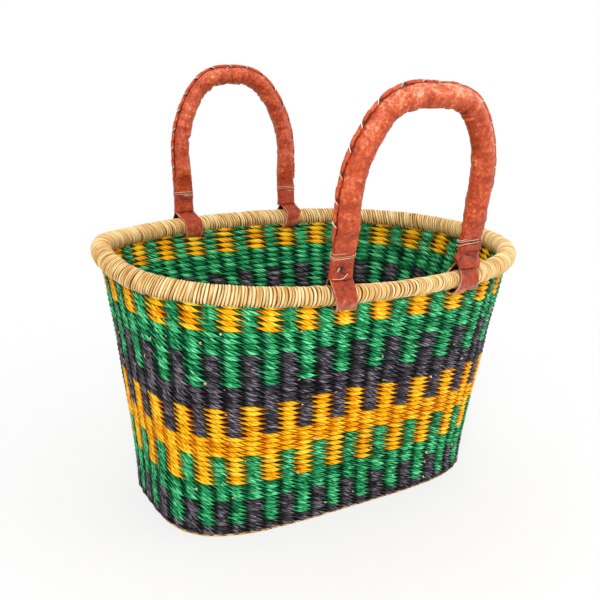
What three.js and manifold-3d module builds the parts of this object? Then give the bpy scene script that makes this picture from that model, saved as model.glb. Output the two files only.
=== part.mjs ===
// Bolga basket: an oval straw shopper with two leather-covered handles that swing on its rim.
// Millimetres, +Z up. The origin is on the ground under the middle of the base.
// The long sides of the basket face -Y and +Y.
import * as THREE from 'three';
import { mergeVertices } from 'three/addons/utils/BufferGeometryUtils.js';
import Module from 'manifold-3d';

const wasm = await Module();
wasm.setup();

// Driving sizes of the basket, all measured to the middle of the wall or of the rim
const rimHeight = 248;
const rimLength = 422;
const rimWidth = 322;
const footLength = 348;
const footWidth = 189;
const wallThickness = 8;

// Shape of the basket: how square the oval is at the rim and at the foot, and how the wall flares
const rimSquareness = 2.27;
const footSquareness = 3.87;
const flarePower = 1.4;
const stations = 60;
const outlineSteps = 720;

// Clearance between touching pieces, and the overrun of a cut
const gap = 0.3;
const overrun = 1;

// Weave: counted rows from the foot up, in courses of patterned rows under plain rows
const footPlainRows = 2;
const patternRows = 6;
const plainRows = 4;
const courses = 5;
const rowCrowdingShare = 0.11;

// Base: the flat woven bottom and the natural straw row that borders it
const basePanelThickness = 4.4;
const borderHeight = 5;
const borderWidth = 6;

// Rim: a bundle of straw, wound with a straw strip that also grips the top of the wall
const rimRadius = 10;
const rimCoreRadius = 5.7;
const rimCoreSides = 6;
const wrapArcSteps = 8;

// Handles: a rope core in a sewn leather sleeve. Made by hand, each sits a little off the middle and
// has its own lean and bend
const handleFootSpacing = 135;
const handleReach = 165.5;
const frontOffset = -6;
const frontLean = THREE.MathUtils.degToRad(8.4);
const frontSquareness = 3.45;
const frontBulgeShare = 0.1;
const rearOffset = -3.5;
const rearLean = THREE.MathUtils.degToRad(6.2);
const rearSquareness = 2.9;
const rearBulgeShare = 0.07;
const sleeveRadius = 10.3;
const sleeveThickness = 1.5;
const seamOpening = 3;
const ropeSides = 6;
const archSteps = 24;
const sleeveArcSteps = 7;

// Flat foot of the sleeve, which takes the end of the strap
const footHalfWidth = 11;
const footHalfThickness = 3.1;
const footSectionSquareness = 4.5;
const taperLength = 30;
const flatLength = 22;

// Strap loop round the rim, with its tongue up the foot of the sleeve
const strapWidth = 24;
const strapThickness = 2.2;
const strapSides = 24;
const strapClearance = 0.7;
const tongueWidth = 15.5;
const tongueLength = 20;

// Thread: the turns that bind each foot, and the seam of the sleeve
const threadRadius = 0.6;
const bindingTurns = 3;
const bindingPitch = 1.8;
const bindingSteps = 24;
const threadSides = 6;
const bindingAboveFoot = 9;
const seamThreadSides = 4;

// Welt: the rolled edge of leather along the seam
const weltRadius = 1.7;
const weltSides = 6;
const weltAboveTaper = 2;

const straw = { color: 0xe0c48c, roughness: 0.75, metalness: 0 };
const green = { color: 0x1f8a58, roughness: 0.7, metalness: 0 };
const dark = { color: 0x3a353f, roughness: 0.7, metalness: 0 };
const yellow = { color: 0xf5a623, roughness: 0.7, metalness: 0 };
const leather = { color: 0xbf5438, roughness: 0.5, metalness: 0 };
const strapLeather = { color: 0xb9604a, roughness: 0.6, metalness: 0 };
const rope = { color: 0xb9995f, roughness: 0.9, metalness: 0 };
const thread = { color: 0xe6d3b0, roughness: 0.8, metalness: 0 };

// Signed power, the building block of a squared oval
function signedPower(value, power) {
  return Math.sign(value) * Math.abs(value) ** power;
}

// One point of a squared oval with the half sizes a and b
function squareOval(a, b, squareness, angle) {
  const x = a * signedPower(Math.cos(angle), 2 / squareness);
  const y = b * signedPower(Math.sin(angle), 2 / squareness);
  return new THREE.Vector2(x, y);
}

// Points at equal steps of length along a line of points
function evenlySpaced(line, count, closed) {
  const travelled = [0];
  for (let i = 1; i < line.length; i += 1) {
    travelled.push(travelled[i - 1] + line[i].distanceTo(line[i - 1]));
  }
  const whole = travelled[travelled.length - 1];
  const intervals = closed ? count : count - 1;
  const points = [];
  let k = 1;
  for (let i = 0; i < count; i += 1) {
    const wanted = (whole * i) / intervals;
    while (k < line.length - 1 && travelled[k] < wanted) {
      k += 1;
    }
    const share = (wanted - travelled[k - 1]) / (travelled[k] - travelled[k - 1]);
    points.push(line[k - 1].clone().lerp(line[k], share));
  }
  return points;
}

// Half sizes of the mid-wall oval at a height
function ovalAt(z) {
  const t = z / rimHeight;
  const flare = t ** flarePower;
  return {
    a: THREE.MathUtils.lerp(footLength, rimLength, flare) / 2,
    b: THREE.MathUtils.lerp(footWidth, rimWidth, flare) / 2,
    squareness: THREE.MathUtils.lerp(footSquareness, rimSquareness, t),
  };
}

// Mid-wall stations at a height, each with the direction that points straight out of the wall
function wallStations(z) {
  const { a, b, squareness } = ovalAt(z);
  const line = [];
  for (let i = 0; i <= outlineSteps; i += 1) {
    line.push(squareOval(a, b, squareness, (2 * Math.PI * i) / outlineSteps));
  }
  return evenlySpaced(line, stations, true).map((p) => {
    const nx = signedPower(p.x / a, squareness - 1) / a;
    const ny = signedPower(p.y / b, squareness - 1) / b;
    return { at: new THREE.Vector3(p.x, p.y, z), out: new THREE.Vector3(nx, ny, 0).normalize() };
  });
}

// How far the middle of the rim lies from the long axis at a place x along it
function rimReachAt(x) {
  const { a, b, squareness } = ovalAt(rimHeight);
  return b * (1 - Math.abs(x / a) ** squareness) ** (1 / squareness);
}

// A closed mesh as a solid that can be joined and cut, and back again
function toSolid(geometry) {
  const bare = geometry.clone();
  bare.deleteAttribute('normal');
  bare.deleteAttribute('uv');
  const merged = mergeVertices(bare);
  return new wasm.Manifold(new wasm.Mesh({
    numProp: 3,
    vertProperties: new Float32Array(merged.attributes.position.array),
    triVerts: new Uint32Array(merged.index.array),
  }));
}

function toGeometry(solid) {
  const mesh = solid.getMesh();
  const geometry = new THREE.BufferGeometry();
  geometry.setAttribute('position', new THREE.BufferAttribute(mesh.vertProperties, mesh.numProp));
  geometry.setIndex(new THREE.BufferAttribute(mesh.triVerts, 1));
  return geometry;
}

// A mesh from points and triangles, turned so that its faces point out
function closedGeometry(points, triangles) {
  let volume = 0;
  for (const [i, j, k] of triangles) {
    volume += points[i].dot(new THREE.Vector3().crossVectors(points[j], points[k]));
  }
  const index = triangles.flatMap(([i, j, k]) => (volume > 0 ? [i, j, k] : [i, k, j]));
  const geometry = new THREE.BufferGeometry();
  const positions = points.flatMap((p) => p.toArray());
  geometry.setAttribute('position', new THREE.Float32BufferAttribute(positions, 3));
  geometry.setIndex(index);
  return geometry;
}

// Joins the sections that stand at a row of places, each with its own across and up directions
function sweep(places, sectionAt, closed) {
  const sections = places.map((place, i) => sectionAt(i));
  const size = sections[0].length;
  const points = places.flatMap((place, i) => sections[i].map((q) => place.at.clone()
    .addScaledVector(place.across, q.x)
    .addScaledVector(place.up, q.y)));
  const triangles = [];
  const steps = closed ? places.length : places.length - 1;
  for (let i = 0; i < steps; i += 1) {
    const j = (i + 1) % places.length;
    for (let k = 0; k < size; k += 1) {
      const l = (k + 1) % size;
      triangles.push([i * size + k, i * size + l, j * size + l]);
      triangles.push([i * size + k, j * size + l, j * size + k]);
    }
  }
  if (!closed) {
    const last = (places.length - 1) * size;
    for (const [a, b, c] of THREE.ShapeUtils.triangulateShape(sections[0], [])) {
      triangles.push([a, c, b]);
    }
    for (const [a, b, c] of THREE.ShapeUtils.triangulateShape(sections[places.length - 1], [])) {
      triangles.push([last + a, last + b, last + c]);
    }
  }
  return closedGeometry(points, triangles);
}

// Anticlockwise regular outline of a given radius
function polygon(sides, radius) {
  const points = [];
  for (let i = 0; i < sides; i += 1) {
    const angle = (2 * Math.PI * (i + 0.5)) / sides;
    points.push(new THREE.Vector2(radius * Math.cos(angle), radius * Math.sin(angle)));
  }
  return points;
}

// A band of wall between two heights, cut level above and below
function wallBand(low, high, inset, outset) {
  const bottom = wallStations(low);
  const top = wallStations(high);
  const places = bottom.map(({ at, out }) => ({ at, across: out, up: new THREE.Vector3(0, 0, 1) }));
  const section = (i) => {
    const lean = top[i].at.clone().sub(bottom[i].at).dot(bottom[i].out);
    return [
      new THREE.Vector2(-inset, 0),
      new THREE.Vector2(outset, 0),
      new THREE.Vector2(lean + outset, high - low),
      new THREE.Vector2(lean - inset, high - low),
    ];
  };
  return sweep(places, section, true);
}

// The flat bottom inside the border
function basePanel() {
  const inside = borderWidth - wallThickness / 2 + gap;
  const edgeAt = (z) => wallStations(z).map(({ at, out }) => at.clone().addScaledVector(out, -inside));
  const flat = (z) => edgeAt(z).map((p) => new THREE.Vector2(p.x, p.y));
  const heights = [0, basePanelThickness];
  const places = heights.map((z) => ({
    at: new THREE.Vector3(0, 0, z),
    across: new THREE.Vector3(1, 0, 0),
    up: new THREE.Vector3(0, 1, 0),
  }));
  return sweep(places, (i) => flat(heights[i]), false);
}

function baseBorder() {
  return wallBand(0, borderHeight, borderWidth - wallThickness / 2, wallThickness / 2);
}

// Height of the top of a row of weave, where rows lie a little closer near the foot
const weaveFoot = borderHeight + gap;
const rowCount = footPlainRows + patternRows + (courses - 1) * (plainRows + patternRows);
const wallTop = rimHeight - rimCoreRadius - gap;

function rowHeight(row) {
  const share = row / rowCount;
  const crowded = share * (1 - rowCrowdingShare * (1 - share));
  return THREE.MathUtils.lerp(weaveFoot, rimHeight, crowded);
}

// The rows at which one course of weave ends and the next begins, from the foot up
function courseRows() {
  const rows = [0];
  for (let i = 0; i < courses; i += 1) {
    rows.push(rows[i] + patternRows + (i === 0 ? footPlainRows : plainRows));
  }
  return rows;
}

// Places along the rim, with up along the slanted wall below
function rimPlaces() {
  const rim = wallStations(rimHeight);
  const below = wallStations(rimHeight - rimRadius);
  return rim.map(({ at, out }, i) => {
    const slant = below[i].at.clone().sub(at).dot(out);
    const up = out.clone().multiplyScalar(-slant);
    up.z = rimRadius;
    up.normalize();
    const across = out.clone().multiplyScalar(up.z);
    across.z = -up.dot(out);
    return { at, across, up };
  });
}

function rimCore() {
  return sweep(rimPlaces(), () => polygon(rimCoreSides, rimCoreRadius), true);
}

// Outline of a sleeve with a slit: an outer arc and an inner arc that meet the two lips
function slitOutline(outer, inner, steps) {
  const points = [];
  for (let i = 0; i <= steps; i += 1) {
    points.push(outer(i / steps));
  }
  for (let i = steps; i >= 0; i -= 1) {
    points.push(inner(i / steps));
  }
  return points;
}

// An arc that starts and ends at a slit of a given half width, facing straight down
function arcFromSlit(radius, halfSlit) {
  const half = Math.asin(halfSlit / radius);
  return (share) => {
    const angle = -Math.PI / 2 + half + share * (2 * Math.PI - 2 * half);
    return new THREE.Vector2(radius * Math.cos(angle), radius * Math.sin(angle));
  };
}

function rimWrap() {
  const halfSlit = wallThickness / 2 + gap;
  const bore = (rimCoreRadius + gap) / Math.cos(Math.PI / wrapArcSteps);
  const outline = slitOutline(arcFromSlit(rimRadius, halfSlit), arcFromSlit(bore, halfSlit), wrapArcSteps);
  return sweep(rimPlaces(), () => outline, true);
}

// The line that a handle turns on. It passes through the rim at both feet of the handle
const footX = handleFootSpacing / 2;

function hingeLine(side, offset) {
  const left = rimReachAt(offset - footX);
  const right = rimReachAt(offset + footX);
  const reach = (left + right) / 2;
  return {
    middle: new THREE.Vector3(offset, side * reach, rimHeight),
    turn: Math.atan2(side * (right - left), handleFootSpacing),
  };
}

const hinges = { front: hingeLine(-1, frontOffset), rear: hingeLine(1, rearOffset) };

// How far the curved rim strays from a hinge line across the width of a strap
function rimStray({ middle, turn }) {
  const strays = [];
  for (const foot of [-footX, footX]) {
    for (const x of [foot - strapWidth / 2, foot + strapWidth / 2]) {
      const onLine = Math.abs(middle.y + x * Math.tan(turn));
      strays.push(Math.abs(rimReachAt(middle.x + x) - onLine));
    }
  }
  return Math.max(...strays);
}

const rimBow = Math.max(rimStray(hinges.front), rimStray(hinges.rear));
const strapInside = (rimRadius + rimBow + strapClearance) / Math.cos(Math.PI / strapSides);
const strapOutside = strapInside + strapThickness;
const sleeveStart = strapOutside + gap;
const sleeveTaperStart = sleeveStart + flatLength;
const sleeveTaperEnd = sleeveTaperStart + taperLength;

// Turns a shape drawn in (thickness, height) into a solid that runs along X and is centred on it
function alongX(shape, width, curveSegments) {
  const geometry = new THREE.ExtrudeGeometry(shape, { depth: width, bevelEnabled: false, curveSegments });
  geometry.translate(0, 0, -width / 2);
  const basis = new THREE.Matrix4().makeBasis(
    new THREE.Vector3(0, 1, 0),
    new THREE.Vector3(0, 0, 1),
    new THREE.Vector3(1, 0, 0),
  );
  return geometry.applyMatrix4(basis);
}

function discAlongX(radius, width) {
  const shape = new THREE.Shape();
  shape.absarc(0, 0, radius, 0, 2 * Math.PI);
  return toSolid(alongX(shape, width, strapSides));
}

// The room that a strap loop sweeps as it turns, as a cut for the wall
function strapSlot(x, { middle, turn }) {
  const outer = discAlongX(strapOutside + gap, strapWidth + 2 * strapClearance);
  const inner = discAlongX(strapInside * Math.cos(Math.PI / strapSides) - gap, strapWidth + 2 * overrun);
  return outer.subtract(inner)
    .translate([x, 0, 0])
    .rotate([0, 0, THREE.MathUtils.radToDeg(turn)])
    .translate(middle.toArray());
}

function strap() {
  const bore = discAlongX(strapInside, strapWidth + 2 * overrun);
  const loop = discAlongX(strapOutside, strapWidth).subtract(bore);
  const tongue = new THREE.BoxGeometry(tongueWidth, strapThickness, tongueLength + strapThickness);
  const base = strapOutside * Math.cos(Math.PI / strapSides) - strapThickness / 2;
  tongue.translate(0, 0, base + (tongueLength + strapThickness) / 2);
  return toGeometry(loop.add(toSolid(tongue)));
}

// The top course of weave gives way to the four straps
function weaveCourse(low, high, straps) {
  const band = wallBand(low, high, wallThickness / 2, wallThickness / 2);
  if (!straps) {
    return band;
  }
  let solid = toSolid(band);
  for (const x of [-footX, footX]) {
    for (const hinge of Object.values(hinges)) {
      solid = solid.subtract(strapSlot(x, hinge));
    }
  }
  return toGeometry(solid);
}

// Middle line of a handle in its own plane: x along the rim, z away from the hinge line
function archLine({ squareness, bulgeShare }) {
  const line = [];
  for (let i = 0; i <= outlineSteps; i += 1) {
    const p = squareOval(footX, handleReach, squareness, Math.PI * (1 - i / outlineSteps));
    const risen = THREE.MathUtils.smoothstep(p.y, sleeveTaperStart, handleReach);
    const bulge = 1 + bulgeShare * Math.sin(Math.PI * risen);
    line.push(new THREE.Vector3(p.x * bulge, 0, p.y));
  }
  return line;
}

// The part of the middle line that stays above a distance from the hinge line
function archPlaces(bend, from, steps) {
  const points = evenlySpaced(archLine(bend).filter((p) => p.z >= from), steps + 1, false);
  return points.map((at, i) => {
    const before = points[Math.max(i - 1, 0)];
    const after = points[Math.min(i + 1, steps)];
    const along = after.clone().sub(before).normalize();
    if (i === 0 || i === steps) {
      along.set(0, 0, Math.sign(along.z));
    }
    const outward = new THREE.Vector3(0, 1, 0).cross(along).negate();
    return { at, across: outward, up: new THREE.Vector3(0, 1, 0) };
  });
}

// Share of the way from the flat foot to the full round sleeve
function roundness(z) {
  return THREE.MathUtils.smoothstep(z, sleeveTaperStart, sleeveTaperEnd);
}

// Leather sleeve, open in a slit along its outer edge where the seam lies
function handleSleeve(bend) {
  const places = archPlaces(bend, sleeveStart, archSteps);
  const half = Math.asin(seamOpening / 2 / sleeveRadius);
  const arc = (halfWidth, halfThickness, squareness) => (share) => {
    const angle = half + share * 2 * (Math.PI - half);
    return squareOval(halfWidth, halfThickness, squareness, angle);
  };
  const section = (i) => {
    const full = roundness(places[i].at.z);
    const squareness = THREE.MathUtils.lerp(footSectionSquareness, 2, full);
    const halfWidth = THREE.MathUtils.lerp(footHalfWidth, sleeveRadius, full);
    const halfThickness = THREE.MathUtils.lerp(footHalfThickness, sleeveRadius, full);
    const outer = arc(halfWidth, halfThickness, squareness);
    const inner = arc(halfWidth - sleeveThickness, halfThickness - sleeveThickness, squareness);
    return slitOutline(outer, inner, sleeveArcSteps);
  };
  return sweep(places, section, false);
}

// A round tube with flat ends along a line of points
function tubeAlong(points, radius, sides, steps) {
  const shape = new THREE.Shape(polygon(sides, radius));
  const path = new THREE.CatmullRomCurve3(points);
  return new THREE.ExtrudeGeometry(shape, { steps, bevelEnabled: false, extrudePath: path });
}

function handleRope(bend) {
  const radius = (sleeveRadius - sleeveThickness) * Math.cos(Math.PI / sleeveArcSteps) - gap;
  const places = archPlaces(bend, sleeveTaperEnd, archSteps);
  return tubeAlong(places.map(({ at }) => at), radius, ropeSides, archSteps);
}

// A line that follows the seam at a distance from the middle line of the handle
function alongSeam(bend, distance, sideways) {
  const places = archPlaces(bend, sleeveTaperEnd + weltAboveTaper, archSteps);
  return places.map(({ at, across, up }) => at.clone()
    .addScaledVector(across, distance)
    .addScaledVector(up, sideways));
}

function seamWelt(bend) {
  const line = alongSeam(bend, sleeveRadius + gap + weltRadius, 0);
  return tubeAlong(line, weltRadius, weltSides, archSteps);
}

// The sewing thread lies in the groove between the welt and the sleeve
function seamThread(bend) {
  const beside = weltRadius + gap + threadRadius;
  const outward = sleeveRadius + gap + threadRadius;
  return tubeAlong(alongSeam(bend, outward, beside), threadRadius, seamThreadSides, archSteps);
}

// Turns of thread round the flat foot, as one unbroken line that rises at a steady rate
function bindingLine() {
  const halfWidth = footHalfWidth + gap + threadRadius;
  const halfThickness = footHalfThickness + gap + threadRadius;
  const steps = bindingTurns * bindingSteps;
  const line = [];
  for (let i = 0; i <= steps; i += 1) {
    const turn = i / bindingSteps;
    const p = squareOval(halfWidth, halfThickness, footSectionSquareness, 2 * Math.PI * turn - Math.PI / 2);
    const z = sleeveStart + bindingAboveFoot + turn * bindingPitch;
    line.push(new THREE.Vector3(p.x, p.y, z));
  }
  return line;
}

// Least room between two turns of a wound line, measured on its points
function leastSelfGap(line) {
  let least = Infinity;
  for (let i = 0; i < line.length; i += 1) {
    for (let j = i + bindingSteps / 2; j < line.length; j += 1) {
      least = Math.min(least, line[i].distanceTo(line[j]) - 2 * threadRadius);
    }
  }
  return least;
}

function footBinding() {
  const line = bindingLine();
  const lead = 2 * threadRadius;
  const first = line[0].clone().sub(new THREE.Vector3(lead, 0, 0));
  const last = line[line.length - 1].clone().add(new THREE.Vector3(lead, 0, 0));
  const whole = [first, ...line, last];
  return tubeAlong(whole, threadRadius, threadSides, whole.length - 1);
}

function mesh(name, geometry, look) {
  const piece = new THREE.Mesh(geometry, new THREE.MeshStandardMaterial(look));
  piece.name = name;
  return piece;
}

// Body of the basket
function basket() {
  const group = new THREE.Group();
  group.add(mesh('base_panel', basePanel(), straw));
  group.add(mesh('base_border', baseBorder(), straw));
  const weave = [
    ['weave_dark_foot', dark],
    ['weave_green_lower', green],
    ['weave_yellow', yellow],
    ['weave_dark_upper', dark],
    ['weave_green_top', green],
  ];
  const rows = courseRows();
  for (let i = 0; i < courses; i += 1) {
    const top = i === courses - 1;
    const low = i === 0 ? weaveFoot : rowHeight(rows[i]) + gap / 2;
    const high = top ? wallTop : rowHeight(rows[i + 1]) - gap / 2;
    const [name, look] = weave[i];
    group.add(mesh(name, weaveCourse(low, high, top), look));
  }
  group.add(mesh('rim_core', rimCore(), straw));
  group.add(mesh('rim_wrap', rimWrap(), straw));
  return group;
}

// One handle, built upright in its own plane and then leaned outward on its hinge line
function handle(name, side, lean, bend) {
  const { middle, turn } = hinges[name];
  const group = new THREE.Group();
  group.add(mesh(`${name}_handle_rope`, handleRope(bend), rope));
  group.add(mesh(`${name}_handle_sleeve`, handleSleeve(bend), leather));
  group.add(mesh(`${name}_seam_welt`, seamWelt(bend), leather));
  group.add(mesh(`${name}_seam_thread`, seamThread(bend), thread));
  for (const [end, x] of [['left', -footX], ['right', footX]]) {
    const foot = mesh(`${name}_strap_${end}`, strap(), strapLeather);
    const binding = mesh(`${name}_binding_${end}`, footBinding(), thread);
    foot.position.x = x;
    binding.position.x = x;
    group.add(foot, binding);
  }
  group.position.copy(middle);
  group.rotation.set(-side * lean, 0, turn, 'ZYX');
  return group;
}

const bolgaBasket = new THREE.Group();
bolgaBasket.add(
  basket(),
  handle('front', -1, frontLean, { squareness: frontSquareness, bulgeShare: frontBulgeShare }),
  handle('rear', 1, rearLean, { squareness: rearSquareness, bulgeShare: rearBulgeShare }),
);
console.log(`least gap between the turns of a binding: ${leastSelfGap(bindingLine()).toFixed(2)} mm`);

export default bolgaBasket;
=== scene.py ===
"""Looks of the bolga basket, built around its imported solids.

Lengths are in metres, and MM is one millimetre."""
import math

import bpy
import numpy as np
from mathutils import Matrix, Vector, noise


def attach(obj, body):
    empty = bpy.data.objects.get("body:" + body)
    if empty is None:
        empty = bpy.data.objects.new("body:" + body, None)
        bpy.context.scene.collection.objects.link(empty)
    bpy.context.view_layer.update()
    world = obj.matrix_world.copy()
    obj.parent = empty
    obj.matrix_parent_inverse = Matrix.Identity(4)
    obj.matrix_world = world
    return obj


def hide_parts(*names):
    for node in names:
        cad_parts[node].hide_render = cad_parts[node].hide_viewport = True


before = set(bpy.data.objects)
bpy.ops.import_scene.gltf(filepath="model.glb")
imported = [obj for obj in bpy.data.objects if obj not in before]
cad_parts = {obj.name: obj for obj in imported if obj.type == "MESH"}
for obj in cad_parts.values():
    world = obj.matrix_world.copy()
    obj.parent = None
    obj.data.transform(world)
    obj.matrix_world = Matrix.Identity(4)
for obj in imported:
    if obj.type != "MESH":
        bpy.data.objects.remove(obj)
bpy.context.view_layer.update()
rng = np.random.default_rng(41)

MM = 0.001
TAU = 2 * math.pi

# The same driving sizes as the part's source
RIM_HEIGHT = 248 * MM
RIM_LENGTH = 422 * MM
RIM_WIDTH = 322 * MM
FOOT_LENGTH = 348 * MM
FOOT_WIDTH = 189 * MM
RIM_SQUARENESS = 2.27
FOOT_SQUARENESS = 3.87
FLARE_POWER = 1.4
GAP = 0.3 * MM
BORDER_HEIGHT = 5 * MM
ROW_CROWDING = 0.11
PATTERN_ROWS = 6
PLAIN_ROWS = 4
FOOT_PLAIN_ROWS = 2
COURSES = 5
ROWS = FOOT_PLAIN_ROWS + PATTERN_ROWS + (COURSES - 1) * (PLAIN_ROWS + PATTERN_ROWS)
RIM_RADIUS = 10 * MM
RIM_CORE_RADIUS = 5.7 * MM
FOOT_X = 67.5 * MM
HANDLE_REACH = 165.5 * MM
OFFSETS = {-1: -6 * MM, 1: -3.5 * MM}
LEANS = {-1: math.radians(8.4), 1: math.radians(6.2)}
ARCH_SQUARENESS = {-1: 3.45, 1: 2.9}
ARCH_BULGE = 0.07
SLEEVE_RADIUS = 10.3 * MM
FOOT_HALF_WIDTH = 11 * MM
FOOT_HALF_THICKNESS = 3.1 * MM
FOOT_SECTION_SQUARENESS = 4.5
TAPER_LENGTH = 30 * MM
FLAT_LENGTH = 22 * MM
STRAP_WIDTH = 24 * MM
STRAP_THICKNESS = 2.2 * MM
STRAP_CLEARANCE = 0.7 * MM
STRAP_SIDES = 24
WELT_RADIUS = 1.7 * MM

# The handles, by the sign of their side along Y
HANDLE_NAMES = {-1: "front", 1: "rear"}

# Camera, fitted to the photograph's frame
VIEW_TURN = math.radians(32.5)
VIEW_ELEVATION = math.radians(16.4)
VIEW_ROLL = 0.0331
VIEW_DISTANCE = 0.9122
VIEW_ACROSS = -0.0103
VIEW_UP = 0.0657
FOCAL_PIXELS = 854.8
FRAME_PIXELS = 600


def lerp(a, b, t):
    return a + (b - a) * t


def smoothstep(x, low, high):
    t = np.clip((x - low) / (high - low), 0, 1)
    return t * t * (3 - 2 * t)


def bell(x, middle, width):
    return np.exp(-(((x - middle) / width) ** 2))


def bells(x, table):
    """Sum of bells, each given by its size, middle and width."""
    return sum(size * bell(x, middle, width) for size, middle, width in table)


def signed_power(value, power):
    return np.sign(value) * np.abs(value) ** power


def unit(v):
    return v / np.linalg.norm(v, axis=-1, keepdims=True)


def travel(points):
    """How far along a path each of its points lies."""
    return np.concatenate([[0], np.cumsum(np.linalg.norm(np.diff(points, axis=0), axis=1))])


def around(a, b, angle, radius=1.0):
    """Places at an angle round a path, from direction a towards direction b."""
    return a * (radius * np.cos(angle))[:, None] + b * (radius * np.sin(angle))[:, None]


# Wall

OVAL_STEPS = 1440
WALL_TOP = 262 * MM

# Where the wall bulges at its foot and is drawn in at its ends: millimetres, share round it, and width
FOOT_BULGE = [(2.4, 0.525, 0.04)]
DRAWN_ENDS = [(2.4, 0.93, 0.07), (1.2, 0.42, 0.07)]


def oval_at(z):
    """Half sizes and squareness of the mid-wall oval at a height."""
    t = z / RIM_HEIGHT
    flare = t**FLARE_POWER
    a = lerp(FOOT_LENGTH, RIM_LENGTH, flare) / 2
    b = lerp(FOOT_WIDTH, RIM_WIDTH, flare) / 2
    return a, b, lerp(FOOT_SQUARENESS, RIM_SQUARENESS, t)


def even_oval(a, b, squareness, count):
    """Points at equal shares of an oval's length, and the directions that point out of it."""
    angle = np.linspace(0, TAU, OVAL_STEPS + 1)
    x = a * signed_power(np.cos(angle), 2 / squareness)
    y = b * signed_power(np.sin(angle), 2 / squareness)
    travelled = np.concatenate([[0], np.cumsum(np.hypot(np.diff(x), np.diff(y)))])
    wanted = travelled[-1] * np.arange(count) / count
    x, y = np.interp(wanted, travelled, x), np.interp(wanted, travelled, y)
    out = np.stack(
        [signed_power(x / a, squareness - 1) / a, signed_power(y / b, squareness - 1) / b], axis=1
    )
    return np.stack([x, y], axis=1), unit(out), travelled[-1]


class Wall:
    """Mid-wall surface, read at shares u round the oval and heights z."""

    SHARES = 720
    STEP = 2.5 * MM

    def __init__(self):
        self.heights = np.arange(0, WALL_TOP, self.STEP)
        rings = [even_oval(*oval_at(z), self.SHARES) for z in self.heights]
        self.points = np.stack([r[0] for r in rings])
        self.outs = np.stack([r[1] for r in rings])
        self.points += self.outs * (self.stray() * MM)[..., None]

    def stray(self):
        """How far this basket's wall bulges beyond the even oval, in millimetres."""
        u = np.arange(self.SHARES) / self.SHARES
        z = self.heights[:, None]
        foot = bells(u, FOOT_BULGE) * (1 - smoothstep(z, 25 * MM, 90 * MM))
        ends = bells(u, DRAWN_ENDS) * smoothstep(z, 120 * MM, 180 * MM)
        return foot - ends * (1 - smoothstep(z, 228 * MM, 246 * MM))

    def _read(self, grid, u, z):
        row = np.clip(z / self.STEP, 0, len(self.heights) - 1.001)
        i = row.astype(int)
        f = (row - i)[:, None]
        column = (u % 1) * self.SHARES
        j = column.astype(int) % self.SHARES
        g = (column - np.floor(column))[:, None]
        k = (j + 1) % self.SHARES
        low = grid[i, j] * (1 - g) + grid[i, k] * g
        high = grid[i + 1, j] * (1 - g) + grid[i + 1, k] * g
        return low * (1 - f) + high * f

    def at(self, u, z):
        """Points, outward normals and upward directions, all in 3D."""
        u, z = np.broadcast_arrays(np.asarray(u, float), np.asarray(z, float))
        p = self._read(self.points, u, z)
        out = unit(self._read(self.outs, u, z))
        delta = 4 * MM
        above = self._read(self.points, u, z + delta)
        below = self._read(self.points, u, np.maximum(z - delta, 0))
        rise = (z + delta - np.maximum(z - delta, 0))[:, None]
        slope = ((above - below) * out).sum(1, keepdims=True) / rise
        ones = np.ones((len(p), 1))
        normal = unit(np.concatenate([out, -slope], axis=1))
        up = unit(np.concatenate([out * slope, ones], axis=1))
        return np.concatenate([p, z[:, None]], axis=1), normal, up


wall = Wall()


def row_height(row):
    share = row / ROWS
    crowded = share * (1 - ROW_CROWDING * (1 - share))
    return lerp(BORDER_HEIGHT + GAP, RIM_HEIGHT, crowded)


def rim_reach_at(x):
    a, b, squareness = oval_at(RIM_HEIGHT)
    return b * (1 - abs(x / a) ** squareness) ** (1 / squareness)


def hinge_line(side):
    """Middle of the line that a handle turns on, and how far it is turned about the vertical."""
    left, right = (rim_reach_at(OFFSETS[side] + s * FOOT_X) for s in (-1, 1))
    return (OFFSETS[side], side * (left + right) / 2), math.atan2(side * (right - left), 2 * FOOT_X)


def rim_stray(side):
    """How far the curved rim strays from the hinge line across the width of a strap."""
    (x, y), turn = hinge_line(side)
    places = [foot + s * STRAP_WIDTH / 2 for foot in (-FOOT_X, FOOT_X) for s in (-1, 1)]
    return max(abs(rim_reach_at(x + p) - abs(y + p * math.tan(turn))) for p in places)


RIM_BOW = max(rim_stray(side) for side in (-1, 1))
STRAP_INSIDE = (RIM_RADIUS + RIM_BOW + STRAP_CLEARANCE) / math.cos(math.pi / STRAP_SIDES)
STRAP_OUTSIDE = STRAP_INSIDE + STRAP_THICKNESS
SLEEVE_START = STRAP_OUTSIDE + GAP
TAPER_START = SLEEVE_START + FLAT_LENGTH
TAPER_END = TAPER_START + TAPER_LENGTH
STRAP_HUG = RIM_RADIUS + 1.4 * MM
STRAP_SAG = 1.4 * MM


# Meshes


def round_section(sides, squareness=2.0):
    """Outline of a strand: places across and up, from -1 to 1, and how deep in a groove each lies, for
    painted shade.
    """
    angle = TAU * (np.arange(sides) + 0.5) / sides
    x = signed_power(np.cos(angle), 2 / squareness)
    y = signed_power(np.sin(angle), 2 / squareness)
    return np.stack([x, y, np.zeros(sides)], axis=1)


def cord_section():
    """Outline of a rounded cord with a flat back, with painted shade towards its edges, where the turns
    meet.
    """
    x = np.linspace(-1, 1, 11)
    top = np.stack([x, np.sqrt(1 - 0.95 * x**2), np.abs(x) ** 4], axis=1)
    return np.concatenate([top[::-1], [[-0.8, -0.8, 1], [0.8, -0.8, 1]]])


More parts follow.
